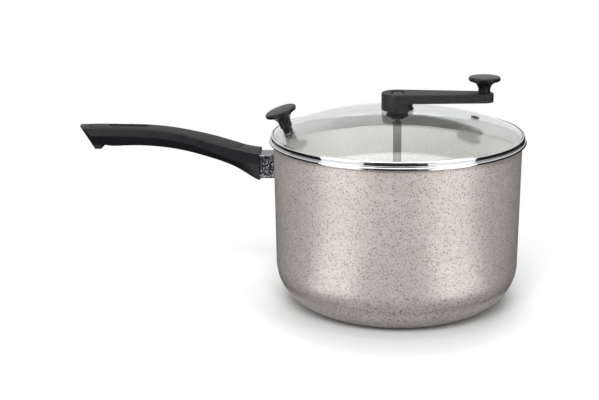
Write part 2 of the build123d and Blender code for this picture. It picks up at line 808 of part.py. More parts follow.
with BuildPart() as crank_screw_washer:
    with BuildSketch(Plane.XY.offset(crank_seat)):
        Circle(crank_washer_radius)
        Circle(crank_screw_radius + screw_gap, mode=Mode.SUBTRACT)
    extrude(amount=crank_washer_thickness)
crank_screw_washer.part.label = "crank_screw_washer"
export_step(crank_screw_washer.part, "parts/crank_screw_washer.step")

with BuildPart() as crank_screw:
    crank_head = crank_seat + crank_washer_thickness
    with BuildSketch(Plane.XY.offset(crank_head)):
        Circle(crank_screw_head_radius)
    extrude(amount=crank_screw_head_height)
    fillet(faces().sort_by(Axis.Z)[-1].edges(), crank_screw_head_height * screw_head_dome)
    with BuildSketch(Plane.XY.offset(crank_head)):
        Circle(crank_screw_radius)
    extrude(amount=-crank_screw_length)
    with BuildSketch(Plane.XY.offset(crank_head + crank_screw_head_height)):
        Rectangle(driver_slot_length, driver_slot_width)
        Rectangle(driver_slot_width, driver_slot_length)
    extrude(amount=-driver_slot_depth, mode=Mode.SUBTRACT)
crank_screw.part.label = "crank_screw"
export_step(crank_screw.part, "parts/crank_screw.step")

with BuildPart() as thrust_washer:
    with BuildSketch(Plane.XY.offset(thrust_bottom)):
        Circle(thrust_washer_radius)
        Circle(shaft_radius + shaft_running_gap, mode=Mode.SUBTRACT)
    extrude(amount=thrust_washer_thickness)
thrust_washer.part.label = "thrust_washer"
export_step(thrust_washer.part, "parts/thrust_washer.step")

# Shaft, clip and stirrer
stirrer_bottom = pot_floor + stirrer_floor_gap
pin_height = stirrer_bottom + stirrer_pin_height
clip_top = bush_bottom - clip_gap
pin_plane = Plane(origin=(0, 0, pin_height), x_dir=(1, 0, 0), z_dir=(0, 1, 0))

with BuildPart() as stir_shaft:
    with BuildSketch(Plane.XY.offset(stirrer_bottom)):
        Circle(shaft_radius)
    extrude(amount=drive_bottom - stirrer_bottom)
    with BuildSketch(Plane.XY.offset(drive_bottom)):
        add(drive_section(shaft_radius, shaft_radius - drive_flat_depth))
    extrude(amount=drive_depth)
    with BuildSketch(Plane.XY.offset(clip_top)):
        Circle(shaft_radius + cut_margin)
        Circle(shaft_radius - clip_groove_depth, mode=Mode.SUBTRACT)
    extrude(amount=-clip_thickness, mode=Mode.SUBTRACT)
    with BuildSketch(Plane.XY.offset(shaft_top)):
        Circle(crank_screw_radius + thread_gap)
    extrude(amount=-crank_screw_length, mode=Mode.SUBTRACT)
    with BuildSketch(pin_plane):
        Circle(stirrer_pin_radius + stirrer_fit_gap)
    extrude(amount=2 * shaft_radius, both=True, mode=Mode.SUBTRACT)
stir_shaft.part.label = "stir_shaft"
export_step(stir_shaft.part, "parts/stir_shaft.step")

with BuildPart() as shaft_clip:
    with BuildSketch(Plane.XY.offset(clip_top - thread_gap)):
        Circle(clip_radius)
        Circle(shaft_radius - clip_groove_depth + thread_gap, mode=Mode.SUBTRACT)
        Rectangle(clip_mouth, 2 * clip_radius, align=(Align.CENTER, Align.MAX), mode=Mode.SUBTRACT)
    extrude(amount=-(clip_thickness - 2 * thread_gap))
shaft_clip.part.label = "shaft_clip"
export_step(shaft_clip.part, "parts/shaft_clip.step")

wire_height = stirrer_bottom + stirrer_wire_rise
wire_start = stirrer_hub_radius - stirrer_wire_grip
wire_reach = pot_radius(pot_floor) - pot_corner_radius - stirrer_corner_gap
arm_turns = [360 / stirrer_arm_count * arm for arm in range(stirrer_arm_count)]

with BuildPart() as stirrer_hub:
    with BuildSketch(Plane.XY.offset(stirrer_bottom)):
        Circle(stirrer_hub_radius)
    extrude(amount=stirrer_hub_height)
    chamfer(edges(), stirrer_hub_chamfer)
    with BuildSketch(Plane.XY.offset(stirrer_bottom)):
        Circle(shaft_radius + stirrer_fit_gap)
    extrude(amount=stirrer_hub_height, mode=Mode.SUBTRACT)
    with BuildSketch(pin_plane):
        Circle(stirrer_pin_radius + stirrer_fit_gap)
    extrude(amount=stirrer_hub_radius, both=True, mode=Mode.SUBTRACT)
    for turn in arm_turns:
        outward = (cos(radians(turn)), sin(radians(turn)), 0)
        socket = Plane(origin=(0, 0, wire_height), x_dir=(0, 0, 1), z_dir=outward)
        with BuildSketch(socket.offset(wire_start)):
            Circle(stirrer_wire_radius + stirrer_fit_gap)
        extrude(amount=stirrer_hub_radius, mode=Mode.SUBTRACT)
stirrer_hub.part.label = "stirrer_hub"
export_step(stirrer_hub.part, "parts/stirrer_hub.step")

with BuildPart() as stirrer_pin:
    with BuildSketch(pin_plane):
        Circle(stirrer_pin_radius)
    extrude(amount=stirrer_hub_radius - stirrer_fit_gap, both=True)
stirrer_pin.part.label = "stirrer_pin"
export_step(stirrer_pin.part, "parts/stirrer_pin.step")

# Each arm runs flat over the floor, then bends up to follow the pan's rounded corner
with BuildPart() as stirrer_arms:
    for turn in arm_turns:
        outward = Vector(cos(radians(turn)), sin(radians(turn)), 0)
        sideways = outward.cross(Vector(0, 0, 1))
        start = outward * wire_start + Vector(0, 0, wire_height)
        with BuildLine(Plane(origin=(0, 0, wire_height), x_dir=outward, z_dir=sideways)) as path:
            run = Line((wire_start, 0), (wire_reach, 0))
            JernArc(run @ 1, run % 1, stirrer_bend_radius, stirrer_bend_angle)
        with BuildSketch(Plane(origin=start, x_dir=(0, 0, 1), z_dir=outward)):
            Circle(stirrer_wire_radius)
        sweep(path=path.line)
stirrer_arms.part.label = "stirrer_arms"
export_step(stirrer_arms.part, "parts/stirrer_arms.step")

# Knob on the crank, and the shouldered screw that it turns on
knob_foot = arm_top + knob_foot_gap
shoulder_bottom = arm_bottom + knob_head_recess_depth - knob_foot_gap

with BuildPart() as crank_knob:
    with BuildSketch(Plane(origin=(arm_reach, 0, knob_foot), x_dir=(1, 0, 0), z_dir=(0, -1, 0))):
        with BuildLine():
            add(knob_outline(crank_knob_neck))
        make_face()
    revolve(axis=Axis((arm_reach, 0, 0), (0, 0, 1)))
    with BuildSketch(knob_axis.offset(knob_foot)):
        Circle(insert_radius + insert_gap)
    extrude(amount=insert_top, mode=Mode.SUBTRACT)
crank_knob.part.label = "crank_knob"
export_step(crank_knob.part, "parts/crank_knob.step")

with BuildPart() as crank_knob_insert:
    with BuildSketch(knob_axis.offset(knob_foot + insert_depth)):
        Circle(insert_radius)
        Circle(knob_screw_radius + thread_gap, mode=Mode.SUBTRACT)
    extrude(amount=insert_length)
crank_knob_insert.part.label = "crank_knob_insert"
export_step(crank_knob_insert.part, "parts/crank_knob_insert.step")

with BuildPart() as crank_knob_screw:
    with BuildSketch(knob_axis.offset(shoulder_bottom)):
        Circle(knob_shoulder_radius)
    extrude(amount=knob_foot + insert_depth - shoulder_bottom)
    with BuildSketch(knob_axis.offset(knob_foot)):
        Circle(knob_screw_radius)
    extrude(amount=insert_top - screw_tip_gap)
    with BuildSketch(knob_axis.offset(shoulder_bottom)):
        Circle(knob_screw_head_radius)
    extrude(amount=-knob_screw_head_height)
    fillet(faces().sort_by(Axis.Z)[0].edges(), knob_screw_head_height * screw_head_dome)
    with BuildSketch(knob_axis.offset(shoulder_bottom - knob_screw_head_height)):
        Rectangle(driver_slot_length, driver_slot_width)
        Rectangle(driver_slot_width, driver_slot_length)
    extrude(amount=driver_slot_depth, mode=Mode.SUBTRACT)
crank_knob_screw.part.label = "crank_knob_screw"
export_step(crank_knob_screw.part, "parts/crank_knob_screw.step")
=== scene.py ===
import math

import bmesh
import bpy
from mathutils import Matrix, Vector


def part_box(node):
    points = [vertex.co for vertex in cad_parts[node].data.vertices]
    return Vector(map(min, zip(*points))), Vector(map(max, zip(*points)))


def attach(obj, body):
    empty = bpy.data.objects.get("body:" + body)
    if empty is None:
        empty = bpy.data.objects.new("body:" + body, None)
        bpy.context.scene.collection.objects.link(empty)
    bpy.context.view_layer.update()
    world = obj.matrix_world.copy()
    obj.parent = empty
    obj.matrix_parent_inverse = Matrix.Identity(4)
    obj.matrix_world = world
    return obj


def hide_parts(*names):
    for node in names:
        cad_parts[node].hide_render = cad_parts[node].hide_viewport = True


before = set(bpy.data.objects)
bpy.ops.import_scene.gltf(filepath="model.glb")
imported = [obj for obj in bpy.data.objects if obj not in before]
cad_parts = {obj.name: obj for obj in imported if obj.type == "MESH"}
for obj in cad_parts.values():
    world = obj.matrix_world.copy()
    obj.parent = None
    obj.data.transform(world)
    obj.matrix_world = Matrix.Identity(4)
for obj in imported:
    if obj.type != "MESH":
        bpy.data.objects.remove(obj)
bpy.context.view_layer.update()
scene = bpy.context.scene
mm = 0.001
weldDistance = 1e-6    # metres
softEdge = 35          # degrees; edges bent by less shade smoothly
roundSteps = 256       # segments of a large turned piece
print("frame loaded:", len(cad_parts), "nodes")


# ---------------------------------------------------------------- node and material helpers

def hexColor(code):
    # sRGB hex to the linear values that a node wants
    parts = [int(code[i:i + 2], 16) / 255 for i in (1, 3, 5)]
    return [c / 12.92 if c <= 0.04045 else ((c + 0.055) / 1.055) ** 2.4 for c in parts] + [1.0]


def addNode(tree, kind, settings=None, links=None):
    # one node with its settings (attributes or inputs) and its incoming links
    node = tree.nodes.new(kind)
    for key, value in (settings or {}).items():
        if isinstance(key, str) and hasattr(node, key):
            setattr(node, key, value)
        else:
            node.inputs[key].default_value = value
    for key, source in (links or {}).items():
        tree.links.new(source, node.inputs[key])
    return node


def newMaterial(name, settings):
    # a Principled material with an empty tree around it
    material = bpy.data.materials.new(name)
    material.use_nodes = True
    tree = material.node_tree
    shader = tree.nodes["Principled BSDF"]
    for key, value in settings.items():
        shader.inputs[key].default_value = value
    place = addNode(tree, "ShaderNodeTexCoord").outputs["Object"]
    return material, tree, shader, place


def ramp(tree, source, stops):
    # colour ramp between two stops, each a hex or a grey value
    node = addNode(tree, "ShaderNodeValToRGB", links={"Fac": source})
    for stop, (position, value) in zip(node.color_ramp.elements, stops):
        stop.position = position
        stop.color = hexColor(value) if isinstance(value, str) else (value, value, value, 1)
    return node.outputs["Color"]


def remap(tree, value, start, end, low=0.0, high=1.0, curve="LINEAR"):
    # lays the span from start to end onto the one from low to high, and holds it there
    return addNode(tree, "ShaderNodeMapRange", {"interpolation_type": curve, "From Min": start, "From Max": end,
                                                "To Min": low, "To Max": high}, {"Value": value}).outputs["Result"]


def perMetre(size):
    # texture scale for a pattern whose feature is this many millimetres across
    return 1000 / size


def noiseAt(tree, place, size, detail):
    # noise with features this many millimetres across
    return addNode(tree, "ShaderNodeTexNoise", {"Scale": perMetre(size), "Detail": detail}, {"Vector": place})


def addBump(tree, shader, height, strength, depth):
    # depth is the real height of the relief in metres
    bump = addNode(tree, "ShaderNodeBump", {"Strength": strength, "Distance": depth}, {"Height": height})
    tree.links.new(bump.outputs["Normal"], shader.inputs["Normal"])


cloudStops = (0.3, 0.7)    # where a material's drift starts and ends in its noise


def clouded(name, settings, cloud=None, relief=None):
    # a material whose sockets drift between two values with one noise, and whose relief comes from another
    material, tree, shader, place = newMaterial(name, settings)
    if cloud:
        drift = noiseAt(tree, place, cloud["size"], cloud["detail"]).outputs["Fac"]
        for socket, ends in cloud["drives"].items():
            tree.links.new(ramp(tree, drift, zip(cloudStops, ends)), shader.inputs[socket])
    if relief:
        grain = noiseAt(tree, place, relief["size"], relief["detail"]).outputs["Fac"]
        addBump(tree, shader, grain, relief["strength"], relief["depth"])
    return material


# ---------------------------------------------------------------- mesh helpers

def makePiece(bm, name, body, material, replaced=(), sharp=softEdge):
    # closes a bmesh into an object that rides on a body and stands for its CAD nodes
    bmesh.ops.remove_doubles(bm, verts=bm.verts, dist=weldDistance)
    bmesh.ops.recalc_face_normals(bm, faces=bm.faces)
    for face in bm.faces:
        face.smooth = True
    for edge in bm.edges:
        edge.smooth = edge.calc_face_angle(0) < math.radians(sharp)
    mesh = bpy.data.meshes.new(name)
    bm.to_mesh(mesh)
    bm.free()
    piece = bpy.data.objects.new(name, mesh)
    scene.collection.objects.link(piece)
    for entry in material if isinstance(material, (list, tuple)) else [material]:
        mesh.materials.append(entry)
    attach(piece, body)
    if replaced:
        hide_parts(*replaced)
    return piece


def weldedNode(body, node, slotName, material, sharp=softEdge):
    # a CAD node's own shape, welded so that its curved faces shade smoothly
    bm = bmesh.new()
    bm.from_mesh(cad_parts[node].data)
    return makePiece(bm, node + "Dressed", body, material, [node], sharp)


rounding = {"steps": 8, "fewest": 3}    # segments of a rounding of 1 mm, which grow with its root, and the fewest


def cornerProfile(bm, corners, closed=False):
    # a section in the XZ plane from (radius, height, rounding) corners in millimetres
    verts = [bm.verts.new((reach * mm, 0, height * mm)) for reach, height, _ in corners]
    pairs = list(zip(verts, verts[1:])) + ([(verts[-1], verts[0])] if closed else [])
    for pair in pairs:
        bm.edges.new(pair)
    for vert, (_, _, radius) in zip(verts, corners):
        if radius:
            ends = [(edge.other_vert(vert).co - vert.co).normalized() for edge in vert.link_edges]
            half = ends[0].angle(ends[1]) / 2
            bmesh.ops.bevel(bm, geom=[vert], offset=radius * mm / math.tan(half), offset_type="OFFSET",
                            segments=max(rounding["fewest"], int(rounding["steps"] * radius ** 0.5)), profile=0.5,
                            affect="VERTICES", material=-1)


def arcFrom(bm, vert, centre, angle, steps):
    # carries a vertex round a centre in the XZ plane and returns the last one
    made = bmesh.ops.spin(bm, geom=[vert], cent=(centre[0], 0, centre[1]), axis=(0, 1, 0), angle=angle,
                          steps=steps)
    return [item for item in made["geom_last"] if isinstance(item, bmesh.types.BMVert)][0]


def lineTo(bm, vert, reach, height):
    # straight edge in the XZ plane, in metres
    end = bm.verts.new((reach, 0, height))
    bm.edges.new((vert, end))
    return end


def arcThrough(bm, start, middle, end, steps):
    # arc by three points in the XZ plane, in metres, from the vertex at its start
    (ax, az), (bx, bz), (cx, cz) = (start.co.x, start.co.z), middle, end
    d = 2 * (ax * (bz - cz) + bx * (cz - az) + cx * (az - bz))
    a2, b2, c2 = ax * ax + az * az, bx * bx + bz * bz, cx * cx + cz * cz
    ux = (a2 * (bz - cz) + b2 * (cz - az) + c2 * (az - bz)) / d
    uz = (a2 * (cx - bx) + b2 * (ax - cx) + c2 * (bx - ax)) / d
    first = math.atan2(ax - ux, az - uz)
    sweep = math.atan2(cx - ux, cz - uz) - first
    through = math.atan2(bx - ux, bz - uz) - first
    sweep = (sweep + math.pi) % math.tau - math.pi
    through = (through + math.pi) % math.tau - math.pi
    if sweep * through < 0:
        sweep -= math.copysign(math.tau, sweep)
    return arcFrom(bm, start, (ux, uz), sweep, steps)


def spinRound(bm, steps=roundSteps):
    # turns the section once round the pan's axis
    bmesh.ops.spin(bm, geom=bm.verts[:] + bm.edges[:], cent=(0, 0, 0), axis=(0, 0, 1), angle=math.tau,
                   steps=steps, use_merge=True)
    bmesh.ops.remove_doubles(bm, verts=bm.verts, dist=weldDistance)


# ---------------------------------------------------------------- camera

# The camera stands where the photograph's did: 1.2 m in front, 0.43 m up, turned a little to the left
view = {"place": (0, -1.2, 0.429178), "pitch": 0.2706, "yaw": -0.075, "roll": -0.0101, "focal": 1341.3422,
        "width": 599, "sensor": 36}
lens = bpy.data.cameras.new("camera")
lens.sensor_width = view["sensor"]
lens.lens = view["focal"] / view["width"] * lens.sensor_width
camera = bpy.data.objects.new("camera", lens)
forward = Vector((math.sin(view["yaw"]) * math.cos(view["pitch"]), math.cos(view["yaw"]) * math.cos(view["pitch"]),
                  -math.sin(view["pitch"])))
level = Vector((math.cos(view["yaw"]), -math.sin(view["yaw"]), 0))
upright = level.cross(forward)
right = level * math.cos(view["roll"]) + upright * math.sin(view["roll"])
top = upright * math.cos(view["roll"]) - level * math.sin(view["roll"])
camera.matrix_world = Matrix.Translation(view["place"]) @ Matrix((right, top, -forward)).transposed().to_4x4()
scene.collection.objects.link(camera)
scene.camera = camera

# ---------------------------------------------------------------- light

# Two low softboxes give the coat its bright bands, an overhead one the knobs and the glass their light, and a
# front fill lifts the middle. Each: turn round the pan in degrees, watts, size, height and distance in metres.
lamps = {"softboxLeft": (-51, 2.4, (0.62, 0.6), 0.31, 0.95), "softboxRight": (51, 2.4, (0.62, 0.6), 0.31, 0.95),
         "softboxTop": (180, 13, (1.4, 1.4), 1.5, 0.15), "fillFront": (-4, 22.0, (0.9, 0.6), 1.05, 1.25)}
lampAim = Vector((0, 0, 0.1))


def softbox(name, turn, power, size, height, distance):
    # rectangular lamp turned round the pan and aimed at it
    data = bpy.data.lights.new(name, "AREA")
    data.shape = "RECTANGLE"
    data.size, data.size_y = size
    data.energy = power
    lamp = bpy.data.objects.new(name, data)
    around = math.radians(turn)
    lamp.location = (math.sin(around) * distance, -math.cos(around) * distance, height)
    lamp.rotation_euler = (lampAim - lamp.location).to_track_quat("-Z", "Y").to_euler()
    scene.collection.objects.link(lamp)


for lampName, setting in lamps.items():
    softbox(lampName, *setting)
bpy.data.objects["fillFront"].visible_glossy = False

# Cards on and round the table: black ones give the polished steel its dark bands and the coat its darker edges and
# foot, lit ones brighten the low ends of the coat's bands. Only reflections see them. Each is a sector: first and
# last turn in degrees, where it starts and ends, how high its outer edge stands (0 for a flat one), and its paint.
cardSetting = {"floor": 0.002, "steps": 24, "brightness": 2.6}
flagPaint = newMaterial("flagPaint", {"Base Color": (0.01, 0.01, 0.01, 1), "Roughness": 1.0})[0]
litPaint, tree = newMaterial("litPaint", {})[:2]
lit = addNode(tree, "ShaderNodeEmission", {"Strength": cardSetting["brightness"]})
tree.links.new(lit.outputs[0], tree.nodes["Material Output"].inputs["Surface"])
cards = {"flagNear": (0, 360, 0.114, 0.165, 0, flagPaint), "flagFront": (-19, 17, 0.165, 1.1, 1.0, flagPaint),
         "flagFrontLow": (-27, 25, 0.165, 1.1, 0.16, flagPaint), "flagRight": (65, 150, 0.165, 0.5, 0.26, flagPaint),
         "flagLeft": (-100, -63, 0.165, 0.5, 0.26, flagPaint),
         "flagHandle": (-150, -100, 0.165, 0.5, 0.12, flagPaint), "flagBack": (150, 210, 0.165, 0.5, 0.06, flagPaint),
         "cardLeft": (-62, -29, 0.18, 0.32, 0, litPaint), "cardRight": (27, 62, 0.18, 0.32, 0, litPaint)}
for cardName, (firstTurn, lastTurn, near, far, cardTop, paint) in cards.items():
    bm = bmesh.new()
    section = [(near, cardSetting["floor"]), (far, cardSetting["floor"])] + ([(far, cardTop)] if cardTop else [])
    verts = [bm.verts.new((0, -reach, height)) for reach, height in section]
    edges = [bm.edges.new(pair) for pair in zip(verts, verts[1:])]
    bmesh.ops.rotate(bm, verts=bm.verts, cent=(0, 0, 0), matrix=Matrix.Rotation(math.radians(firstTurn), 3, "Z"))
    bmesh.ops.spin(bm, geom=verts + edges, cent=(0, 0, 0), axis=(0, 0, 1),
                   angle=math.radians(lastTurn - firstTurn), steps=cardSetting["steps"])
    mesh = bpy.data.meshes.new(cardName)
    bm.to_mesh(mesh)
    bm.free()
    mesh.materials.append(paint)
    card = bpy.data.objects.new(cardName, mesh)
    scene.collection.objects.link(card)
    card.visible_camera = card.visible_diffuse = card.visible_shadow = False
    card.visible_transmission = card.visible_volume_scatter = False

# ---------------------------------------------------------------- floor and background

# White paper that takes the shadow near the pan and goes over into the white of the background further out. Just in
# front of the pan its colour is painted greyer, a painted shadow, and it throws little light back up.
paperLook = {"halfSize": 12, "white": "#f6f6f6", "shaded": "#dadada", "bounced": "#6a6a6a", "roughness": 0.9,
             "specular": 0.1, "fade": (0.15, 0.27), "shadeAhead": 0.05, "shade": (0.08, 0.145), "bounce": 0.15}
bm = bmesh.new()
bmesh.ops.create_grid(bm, x_segments=1, y_segments=1, size=paperLook["halfSize"])
mesh = bpy.data.meshes.new("floor")
bm.to_mesh(mesh)
bm.free()
floor = bpy.data.objects.new("floor", mesh)
scene.collection.objects.link(floor)
paper, tree, shader, place = newMaterial("whitePaper", {"Roughness": paperLook["roughness"],
                                                       "Specular IOR Level": paperLook["specular"]})
reach = addNode(tree, "ShaderNodeVectorMath", {"operation": "LENGTH"}, {0: place}).outputs["Value"]
away = remap(tree, reach, *paperLook["fade"], curve="SMOOTHSTEP")
bounced = addNode(tree, "ShaderNodeLightPath").outputs["Is Diffuse Ray"]
glow = remap(tree, bounced, 0.0, 1.0, 1.0, paperLook["bounce"])
white = addNode(tree, "ShaderNodeEmission", links={"Strength": glow})
# painted shadow: the paper's colour turns grey close in front of the pan
ahead = addNode(tree, "ShaderNodeVectorMath", {"operation": "ADD", 1: (0, paperLook["shadeAhead"], 0)}, {0: place})
ahead = addNode(tree, "ShaderNodeVectorMath", {"operation": "LENGTH"}, {0: ahead.outputs[0]}).outputs["Value"]
brightness = remap(tree, ahead, *paperLook["shade"], curve="SMOOTHSTEP")
sheet = addNode(tree, "ShaderNodeMixRGB", {1: hexColor(paperLook["shaded"]), 2: hexColor(paperLook["white"])},
                {0: brightness}).outputs[0]
grey = addNode(tree, "ShaderNodeMixRGB", {2: hexColor(paperLook["bounced"])}, {0: bounced, 1: sheet})
tree.links.new(grey.outputs[0], shader.inputs["Base Color"])
mixed = addNode(tree, "ShaderNodeMixShader", links={0: away, 1: shader.outputs[0], 2: white.outputs[0]})
tree.links.new(mixed.outputs[0], tree.nodes["Material Output"].inputs["Surface"])
mesh.materials.append(paper)

# The background is white to the camera and through the glass, a little less in mirrors, and dim as a light
backdrop = {"fill": 0.3, "mirrored": 0.75, "seen": 1.0}
world = bpy.data.worlds.new("studio")
scene.world = world
world.use_nodes = True
tree = world.node_tree
path = addNode(tree, "ShaderNodeLightPath").outputs
seen = addNode(tree, "ShaderNodeMath", {"operation": "MAXIMUM"},
               {0: path["Is Camera Ray"], 1: path["Is Transmission Ray"]}).outputs[0]
mirrored = remap(tree, path["Is Glossy Ray"], 0.0, 1.0, backdrop["fill"], backdrop["mirrored"])
strength = addNode(tree, "ShaderNodeMapRange", {"To Max": backdrop["seen"]}, {"Value": seen, "To Min": mirrored})
background = tree.nodes["Background"]
background.inputs["Color"].default_value = (1, 1, 1, 1)
tree.links.new(strength.outputs["Result"], background.inputs["Strength"])
scene.view_settings.view_transform = "Standard"
print("camera, light and floor ready")


# ---------------------------------------------------------------- materials

# Sprayed stone-effect coat on aluminium: metallic greige satin with fine dark brown specks, more and larger low
# down. Each kind of speck: cell in mm, share of cells without one, smallest and largest radius in cells.
coat = {"base": "#c2b9b3", "light": "#c9c1bb", "speck": "#3d342e", "roughness": 0.38, "metallic": 0.3,
        "mottle": {"size": 9.0, "detail": 4.0}, "mottleStops": (0.35, 0.65), "grain": {"size": 0.8, "detail": 2.0},
        "grainDepth": 0.35, "bend": {"size": 1.4, "detail": 3.0}, "bendReach": 0.0016,
        "fine": (1.05, 0.0, 0.04, 0.48), "coarse": (2.4, 0.3, 0.04, 0.22), "speckEdge": 0.07, "lowTop": 0.045,
        "lowMore": 0.12, "depth": 0.95, "peel": {"size": 1.1, "detail": 2.0}, "peelStrength": 0.2,
        "peelDepth": 0.0001}
potCoat, tree, shader, place = newMaterial("sprayedStoneCoat", {"Roughness": coat["roughness"],
                                                               "Metallic": coat["metallic"]})
mottle = noiseAt(tree, place, **coat["mottle"]).outputs["Fac"]
ground = ramp(tree, mottle, zip(coat["mottleStops"], (coat["base"], coat["light"])))
grain = noiseAt(tree, place, **coat["grain"]).outputs["Fac"]
ground = addNode(tree, "ShaderNodeMixRGB", {"blend_type": "SOFT_LIGHT", "Fac": coat["grainDepth"]},
                 {1: ground, 2: grain}).outputs[0]
bend = noiseAt(tree, place, **coat["bend"]).outputs["Color"]
shift = addNode(tree, "ShaderNodeVectorMath", {"operation": "SUBTRACT", 1: (0.5, 0.5, 0.5)}, {0: bend}).outputs[0]
shift = addNode(tree, "ShaderNodeVectorMath", {"operation": "SCALE", "Scale": coat["bendReach"]},
                {0: shift}).outputs[0]
bent = addNode(tree, "ShaderNodeVectorMath", {"operation": "ADD"}, {0: place, 1: shift}).outputs[0]
height = addNode(tree, "ShaderNodeSeparateXYZ", links={"Vector": place}).outputs["Z"]
lowness = remap(tree, height, coat["lowTop"], 0.0, 0.0, coat["lowMore"])
specks = []
for cell, rare, least, most in (coat["fine"], coat["coarse"]):
    cells = addNode(tree, "ShaderNodeTexVoronoi", {"Scale": perMetre(cell), "Randomness": 1.0}, {"Vector": bent})
    chance = addNode(tree, "ShaderNodeSeparateColor", links={"Color": cells.outputs["Color"]}).outputs["Red"]
    size = remap(tree, chance, rare, 1.0, least, most)
    grown = addNode(tree, "ShaderNodeMath", {"operation": "ADD"}, {0: size, 1: lowness}).outputs[0]
    inside = addNode(tree, "ShaderNodeMath", {"operation": "SUBTRACT"},
                     {0: grown, 1: cells.outputs["Distance"]}).outputs[0]
    specks.append(remap(tree, inside, 0.0, coat["speckEdge"]))
allSpecks = addNode(tree, "ShaderNodeMath", {"operation": "MAXIMUM"}, {0: specks[0], 1: specks[1]}).outputs[0]
shown = addNode(tree, "ShaderNodeMath", {"operation": "MULTIPLY", 1: coat["depth"]}, {0: allSpecks}).outputs[0]
colour = addNode(tree, "ShaderNodeMixRGB", {2: hexColor(coat["speck"])}, {0: shown, 1: ground})
tree.links.new(colour.outputs[0], shader.inputs["Base Color"])
orangePeel = noiseAt(tree, place, **coat["peel"]).outputs["Fac"]
addBump(tree, shader, orangePeel, coat["peelStrength"], coat["peelDepth"])

# Non-stick coat inside the pan: pale grey satin without specks, with a slight mottle
potInside = clouded("paleNonStickCoat", {"Roughness": 0.36},
                    {"size": 2.5, "detail": 5.0, "drives": {"Base Color": ("#a9a7a4", "#b8b6b3")}},
                    {"size": 2.5, "detail": 5.0, "strength": 0.2, "depth": 0.0001})

# Turned aluminium on the ground base: bright, with the fine rings of the lathe tool
turned = {"roughness": 0.34, "ring": 0.5, "detail": 2.0, "dark": "#b3b2af", "light": "#cfcecb", "strength": 0.3,
          "depth": 0.00005}
turnedBase, tree, shader, place = newMaterial("turnedAluminium", {"Metallic": 1.0, "Roughness": turned["roughness"]})
spread = addNode(tree, "ShaderNodeVectorMath", {"operation": "MULTIPLY", 1: (1, 1, 0)}, {0: place})
radius = addNode(tree, "ShaderNodeVectorMath", {"operation": "LENGTH"}, {0: spread.outputs[0]}).outputs["Value"]
rings = addNode(tree, "ShaderNodeTexNoise", {"noise_dimensions": "1D", "Scale": perMetre(turned["ring"]),
                                             "Detail": turned["detail"]}, {"W": radius}).outputs["Fac"]
tree.links.new(ramp(tree, rings, zip(cloudStops, (turned["dark"], turned["light"]))), shader.inputs["Base Color"])
addBump(tree, shader, rings, turned["strength"], turned["depth"])

# Mirror-polished stainless steel: clean reflections, broken only by faint polishing lines
polishedSteel = clouded("polishedStainless", {"Metallic": 1.0, "Roughness": 0.06, "Base Color": hexColor("#e2e3e5")},
                        relief={"size": 3.0, "detail": 3.0, "strength": 0.05, "depth": 0.00003})

# Zinc-plated and plain steel of the rivets, screws, clip, pin and wires: bright, with duller patches
plainSteel = clouded("platedSteel", {"Metallic": 1.0, "Base Color": hexColor("#b9babc")},
                     {"size": 1.5, "detail": 4.0, "drives": {"Roughness": (0.22, 0.36)}})

# Dark steel of the collar, the nut, the eyelet and the crank's screw and washer, black-oxided on the collar: dark,
# with sharp lights
darkSteel = clouded("darkSteel", {"Metallic": 1.0},
                         {"size": 1.5, "detail": 4.0, "drives": {"Roughness": (0.16, 0.28),
                                                                 "Base Color": ("#2a2a2b", "#3a3a3b")}})

# Nickel plate over the brass bush: warm grey metal
nickelPlate = clouded("nickelPlate", {"Metallic": 1.0, "Roughness": 0.3},
                      {"size": 1.2, "detail": 3.0, "drives": {"Base Color": ("#6d6b67", "#807e79")}})

# Turned brass of the threaded inserts: yellow metal with uneven gloss
turnedBrass = clouded("turnedBrass", {"Metallic": 1.0, "Base Color": hexColor("#c9a763")},
                      {"size": 1.2, "detail": 3.0, "drives": {"Roughness": (0.24, 0.38)}})

# Drawn aluminium rod: fine lines along its length, soft broad highlight
drawn = {"roughness": 0.33, "stretch": 0.02, "line": {"size": 0.35, "detail": 4.0}, "dark": "#515251",
         "light": "#6c6d6b", "strength": 0.2, "depth": 0.00004}
drawnAluminium, tree, shader, place = newMaterial("drawnAluminium", {"Metallic": 1.0, "Roughness": drawn["roughness"]})
along = addNode(tree, "ShaderNodeMapping", {"Scale": (1, 1, drawn["stretch"])}, {"Vector": place}).outputs[0]
lines = noiseAt(tree, along, **drawn["line"]).outputs["Fac"]
tree.links.new(ramp(tree, lines, zip(cloudStops, (drawn["dark"], drawn["light"]))), shader.inputs["Base Color"])
addBump(tree, shader, lines, drawn["strength"], drawn["depth"])

# Tempered glass: clear, no tint at this thickness, with the slow ripple of its pressing
clearGlass = clouded("temperedGlass", {"Transmission Weight": 1.0, "IOR": 1.5, "Roughness": 0.0,
                                       "Base Color": hexColor("#fbfdfc")},
                     relief={"size": 70.0, "detail": 1.0, "strength": 0.05, "depth": 0.0004})

# Compression-moulded phenolic of the knobs: black satin, with a faint orange peel
blackPhenolic = clouded("satinPhenolic", {"Roughness": 0.3, "Specular IOR Level": 0.26},
                        {"size": 6.0, "detail": 6.0, "drives": {"Base Color": ("#101010", "#171717")}},
                        {"size": 0.6, "detail": 2.0, "strength": 0.22, "depth": 0.00006})

# Handle: the same phenolic with a slightly blue black
handlePhenolic = clouded("handlePhenolic", {"Roughness": 0.42, "Specular IOR Level": 0.3},
                         {"size": 5.0, "detail": 6.0, "drives": {"Base Color": ("#111113", "#1a1a1e")}},
                         {"size": 0.7, "detail": 3.0, "strength": 0.3, "depth": 0.00009})

# Crank: matte glass-filled nylon, charcoal, with a fine spark-eroded texture
crankNylon = clouded("charcoalNylon", {"Roughness": 0.55, "Specular IOR Level": 0.3},
                     {"size": 4.0, "detail": 6.0, "drives": {"Base Color": ("#1c1c1d", "#262627")}},
                     {"size": 0.5, "detail": 3.0, "strength": 0.45, "depth": 0.0001})

